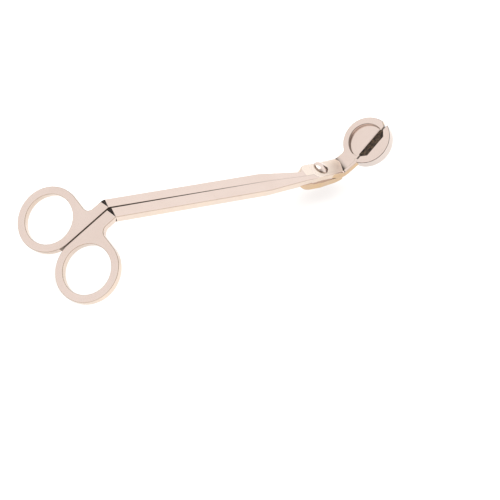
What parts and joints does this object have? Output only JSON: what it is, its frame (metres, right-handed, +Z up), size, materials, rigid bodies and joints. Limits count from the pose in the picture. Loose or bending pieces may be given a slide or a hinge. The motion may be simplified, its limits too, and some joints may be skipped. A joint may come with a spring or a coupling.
{
  "type": "wick trimmer",
  "caption": "Long Z-bent scissors for candle wicks: finger rings, slim crossed levers, and an upturned round head where a bevelled half-round blade closes over a shallow catch tray.",
  "frame": {"origin": "centre of the footprint, on the surface that the closed tool lies on", "axes": "+X along the tool towards the cutting head, +Y towards the finger ring of the blade lever, +Z up"},
  "size_m": [0.184, 0.056, 0.0289],
  "materials": {
    "plated_steel": "polished rose-gold plating",
    "plated_screw": "polished rose-gold plating"
  },
  "bodies": {
    "tray_body": {"tray_lever": "plated_steel", "pivot_screw": "plated_screw", "pivot_nut": "plated_screw"},
    "blade_body": {"blade_lever": "plated_steel"}
  },
  "joints": [
    {"name": "scissor_pivot", "type": "hinge", "parent": "tray_body", "child": "blade_body", "pos_m": [0.05788, 0.0023, 0.0077], "axis": [-0.1661, 0, -0.9861], "range_deg": [0, 40]}
  ]
}
